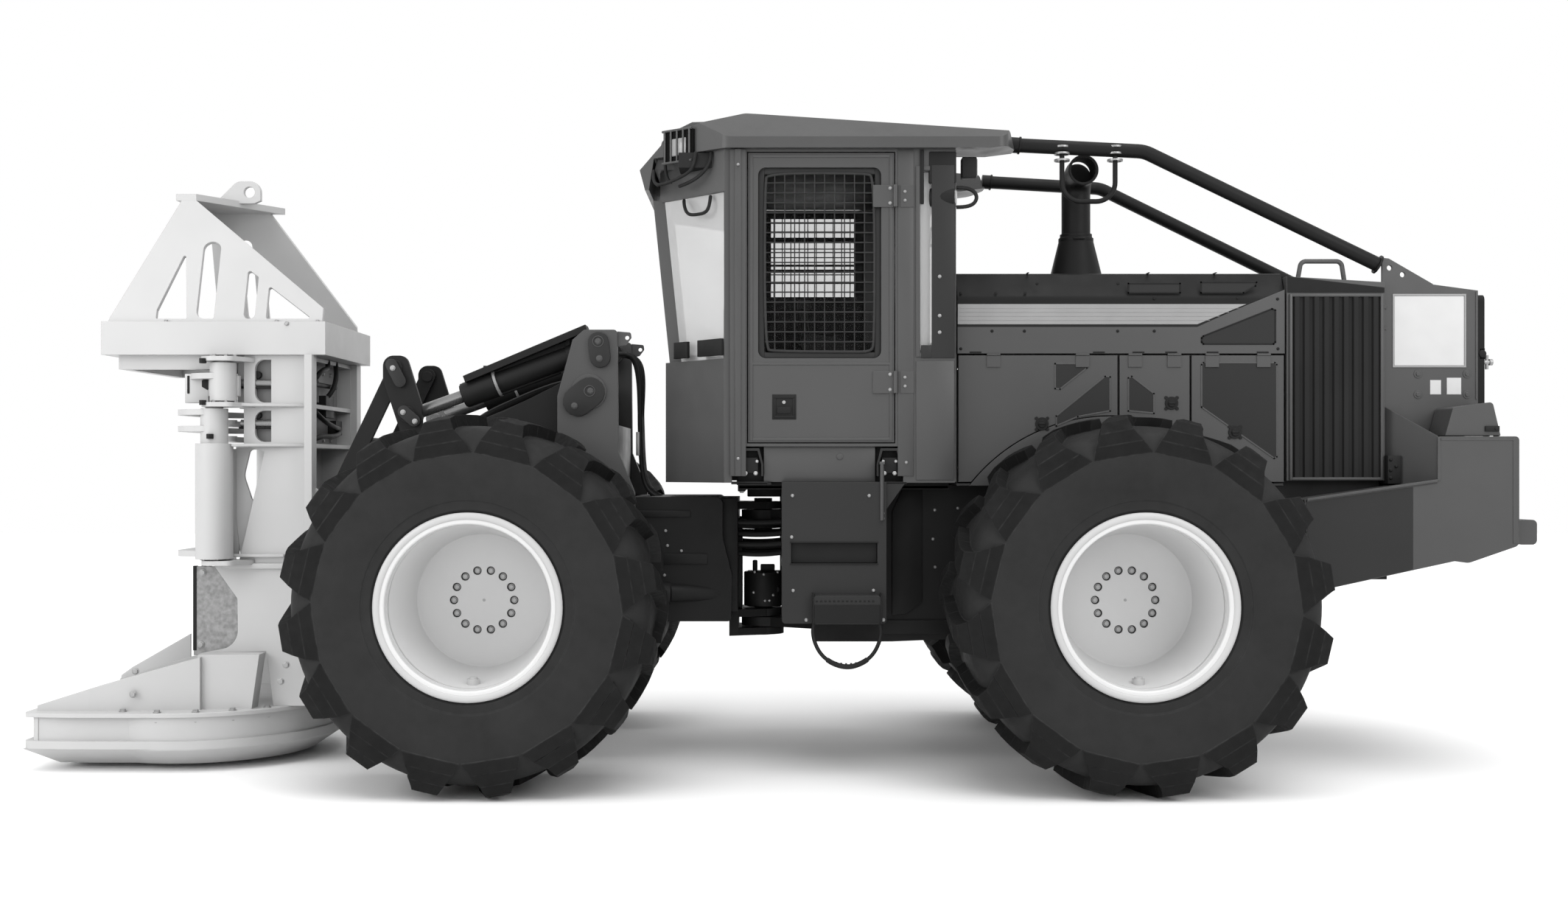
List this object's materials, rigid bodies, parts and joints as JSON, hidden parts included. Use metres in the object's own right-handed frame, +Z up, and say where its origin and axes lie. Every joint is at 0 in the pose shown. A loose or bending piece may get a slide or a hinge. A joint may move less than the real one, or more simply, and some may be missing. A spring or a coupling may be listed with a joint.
{
  "type": "wheeled feller buncher",
  "caption": "Articulated four-wheel forestry machine with a cab, a lifting boom and a disc-saw felling head with gathering arms.",
  "frame": {"origin": "on the ground below the middle of the whole machine", "axes": "+X forward to the felling head, +Y to the machine's left, +Z up"},
  "size_m": [7.76, 2.9554, 3.4192],
  "materials": {
    "body_paint": "satin",
    "dark_paint": "satin",
    "frame_paint": "satin",
    "cylinder_chrome": "polished",
    "bare_steel": "mill",
    "head_paint": "satin",
    "tyre_rubber": "matt",
    "rim_paint": "satin",
    "window_glass": "clear",
    "seat_fabric": "woven",
    "trim_plastic": "moulded",
    "exhaust_black": "matt",
    "step_cable": "matt"
  },
  "bodies": {
    "rear_chassis": {"rear_frame": "frame_paint", "rear_axle": "frame_paint", "engine_block": "bare_steel", "cab_side_walls": "body_paint", "cab_rear_wall": "body_paint", "cab_front_wall": "body_paint", "cab_floor": "frame_paint", "cab_roof": "body_paint", "cab_glass": "window_glass", "seat_cushions": "seat_fabric", "seat_base_and_consoles": "trim_plastic", "hood": "dark_paint", "engine_bay_panels": "body_paint", "cooler_housing": "body_paint", "rear_box": "body_paint", "counterweight": "body_paint", "rear_bumper": "body_paint", "exhaust_stack": "exhaust_black", "brush_guard": "dark_paint", "side_boxes": "body_paint", "cable_step": "step_cable"},
    "front_chassis": {"front_frame": "frame_paint", "front_axle": "frame_paint", "boom_tower": "frame_paint"},
    "boom": {"boom": "frame_paint"},
    "bellcrank": {"bellcrank": "frame_paint"},
    "tilt_link": {"tilt_link": "frame_paint"},
    "tilt_barrels": {"tilt_barrels": "frame_paint"},
    "tilt_pistons": {"tilt_pistons": "bare_steel"},
    "tilt_rods": {"tilt_rods": "cylinder_chrome"},
    "lift_barrels": {"lift_barrels": "frame_paint"},
    "lift_rods": {"lift_rods": "cylinder_chrome"},
    "head": {"head_column": "head_paint", "head_deck": "head_paint", "head_tower": "head_paint", "saw_housing": "head_paint", "knee_plates": "bare_steel"},
    "saw": {"saw_disc": "bare_steel"},
    "harvest_arm_left": {"harvest_arm_left": "head_paint"},
    "harvest_arm_right": {"harvest_arm_right": "head_paint"},
    "accumulator_arm_left": {"accumulator_arm_left": "head_paint"},
    "accumulator_arm_right": {"accumulator_arm_right": "head_paint"},
    "cab_door": {"cab_door": "body_paint", "door_glass": "window_glass"},
    "rear_door": {"rear_door": "body_paint"},
    "tank_lid": {"tank_lid": "body_paint"},
    "front_left_wheel": {"front_left_tyre": "tyre_rubber", "front_left_rim": "rim_paint"},
    "front_right_wheel": {"front_right_tyre": "tyre_rubber", "front_right_rim": "rim_paint"},
    "rear_left_wheel": {"rear_left_tyre": "tyre_rubber", "rear_left_rim": "rim_paint"},
    "rear_right_wheel": {"rear_right_tyre": "tyre_rubber", "rear_right_rim": "rim_paint"},
    "engine_door_left_front": {"engine_door_left_front": "body_paint"},
    "engine_door_left_middle": {"engine_door_left_middle": "body_paint"},
    "engine_door_left_rear": {"engine_door_left_rear": "body_paint"},
    "engine_door_right_front": {"engine_door_right_front": "body_paint"},
    "engine_door_right_middle": {"engine_door_right_middle": "body_paint"},
    "engine_door_right_rear": {"engine_door_right_rear": "body_paint"}
  },
  "joints": [
    {"name": "front_left_spin", "type": "hinge", "parent": "front_chassis", "child": "front_left_wheel", "pos_m": [1.45, 1.1, 0.915], "axis": [0, 1, 0], "continuous": true},
    {"name": "front_right_spin", "type": "hinge", "parent": "front_chassis", "child": "front_right_wheel", "pos_m": [1.45, -1.1, 0.915], "axis": [0, 1, 0], "continuous": true},
    {"name": "rear_left_spin", "type": "hinge", "parent": "rear_chassis", "child": "rear_left_wheel", "pos_m": [-1.74, 1.1, 0.915], "axis": [0, 1, 0], "continuous": true},
    {"name": "rear_right_spin", "type": "hinge", "parent": "rear_chassis", "child": "rear_right_wheel", "pos_m": [-1.74, -1.1, 0.915], "axis": [0, 1, 0], "continuous": true},
    {"name": "articulation", "type": "hinge", "parent": "rear_chassis", "child": "front_chassis", "pos_m": [0.065, 0, 1], "axis": [0, 0, 1], "range_deg": [-40, 40]},
    {"name": "boom_lift", "type": "hinge", "parent": "front_chassis", "child": "boom", "pos_m": [0.985, 0, 1.975], "axis": [0, -1, 0], "range_deg": [0, 40]},
    {"name": "head_tilt", "type": "hinge", "parent": "boom", "child": "head", "pos_m": [2.33, 0, 0.6], "axis": [0, -1, 0], "range_deg": [-20, 12]},
    {"name": "bellcrank_turn", "type": "hinge", "parent": "boom", "child": "bellcrank", "pos_m": [1.8, 0, 1.56], "axis": [0, -1, 0], "range_deg": [-17.5, 10.7]},
    {"name": "tilt_link_turn", "type": "hinge", "parent": "head", "child": "tilt_link", "pos_m": [2.39, 0, 1.317], "axis": [0, -1, 0], "range_deg": [-16.34, 26.9]},
    {"name": "tilt_barrel_turn", "type": "hinge", "parent": "front_chassis", "child": "tilt_barrels", "pos_m": [0.938, 0, 2.228], "axis": [0, -1, 0], "range_deg": [-0.5, 38.44]},
    {"name": "tilt_piston_slide", "type": "slide", "parent": "tilt_barrels", "child": "tilt_pistons", "axis": [0.9387, 0, -0.3447], "range_m": [-0.1734, 0.001]},
    {"name": "tilt_rod_slide", "type": "slide", "parent": "tilt_pistons", "child": "tilt_rods", "axis": [0.9387, 0, -0.3447], "range_m": [-0.0609, 0.10083]},
    {"name": "lift_barrel_turn", "type": "hinge", "parent": "front_chassis", "child": "lift_barrels", "pos_m": [0.76, 0, 1.18], "axis": [0, -1, 0], "range_deg": [-0.5, 24.78]},
    {"name": "lift_rod_slide", "type": "slide", "parent": "lift_barrels", "child": "lift_rods", "axis": [0.9887, 0, 0.1498], "range_m": [-0.001, 0.45932]},
    {"name": "saw_spin", "type": "hinge", "parent": "head", "child": "saw", "pos_m": [3.152, 0, 0.2], "axis": [0, 0, 1], "continuous": true},
    {"name": "harvest_left_swing", "type": "hinge", "parent": "head", "child": "harvest_arm_left", "pos_m": [2.952, 0.52, 1.5], "axis": [0, 0, 1], "range_deg": [0, 100]},
    {"name": "harvest_right_swing", "type": "hinge", "parent": "head", "child": "harvest_arm_right", "pos_m": [2.952, -0.52, 1.5], "axis": [0, 0, -1], "range_deg": [0, 100]},
    {"name": "accumulator_left_swing", "type": "hinge", "parent": "head", "child": "accumulator_arm_left", "pos_m": [2.905, 0.52, 2.02], "axis": [0, 0, 1], "range_deg": [0, 100]},
    {"name": "accumulator_right_swing", "type": "hinge", "parent": "head", "child": "accumulator_arm_right", "pos_m": [2.905, -0.52, 2.02], "axis": [0, 0, -1], "range_deg": [0, 100]},
    {"name": "cab_door_hinge", "type": "hinge", "parent": "rear_chassis", "child": "cab_door", "pos_m": [-0.614, 0.774, 2.4], "axis": [0, 0, 1], "range_deg": [0, 85]},
    {"name": "engine_door_left_front_hinge", "type": "hinge", "parent": "rear_chassis", "child": "engine_door_left_front", "pos_m": [-1.7, 0.646, 2.16], "axis": [1, 0, 0], "range_deg": [0, 80]},
    {"name": "engine_door_left_middle_hinge", "type": "hinge", "parent": "rear_chassis", "child": "engine_door_left_middle", "pos_m": [-1.7, 0.646, 2.16], "axis": [1, 0, 0], "range_deg": [0, 80]},
    {"name": "engine_door_left_rear_hinge", "type": "hinge", "parent": "rear_chassis", "child": "engine_door_left_rear", "pos_m": [-1.7, 0.646, 2.16], "axis": [1, 0, 0], "range_deg": [0, 80]},
    {"name": "engine_door_right_front_hinge", "type": "hinge", "parent": "rear_chassis", "child": "engine_door_right_front", "pos_m": [-1.7, -0.646, 2.16], "axis": [-1, 0, 0], "range_deg": [0, 80]},
    {"name": "engine_door_right_middle_hinge", "type": "hinge", "parent": "rear_chassis", "child": "engine_door_right_middle", "pos_m": [-1.7, -0.646, 2.16], "axis": [-1, 0, 0], "range_deg": [0, 80]},
    {"name": "engine_door_right_rear_hinge", "type": "hinge", "parent": "rear_chassis", "child": "engine_door_right_rear", "pos_m": [-1.7, -0.646, 2.16], "axis": [-1, 0, 0], "range_deg": [0, 80]},
    {"name": "rear_door_hinge", "type": "hinge", "parent": "rear_chassis", "child": "rear_door", "pos_m": [-3.717, -0.57, 2.135], "axis": [0, 0, 1], "range_deg": [0, 100]},
    {"name": "tank_lid_hinge", "type": "hinge", "parent": "rear_chassis", "child": "tank_lid", "pos_m": [-3.682, 0.72, 1.737], "axis": [0, -1, 0], "range_deg": [0, 80]}
  ],
  "couplings": [
    {"joint": "bellcrank_turn", "follows": "head_tilt", "ratio": 0.85},
    {"joint": "tilt_link_turn", "follows": "head_tilt", "ratio": -1.32},
    {"joint": "tilt_rod_slide", "follows": "head_tilt", "m_per_rad": -0.286},
    {"joint": "tilt_barrel_turn", "follows": "boom_lift", "ratio": 0.9485},
    {"joint": "tilt_piston_slide", "follows": "boom_lift", "m_per_rad": -0.24694},
    {"joint": "lift_barrel_turn", "follows": "boom_lift", "ratio": 0.607},
    {"joint": "lift_rod_slide", "follows": "boom_lift", "m_per_rad": 0.6565}
  ]
}
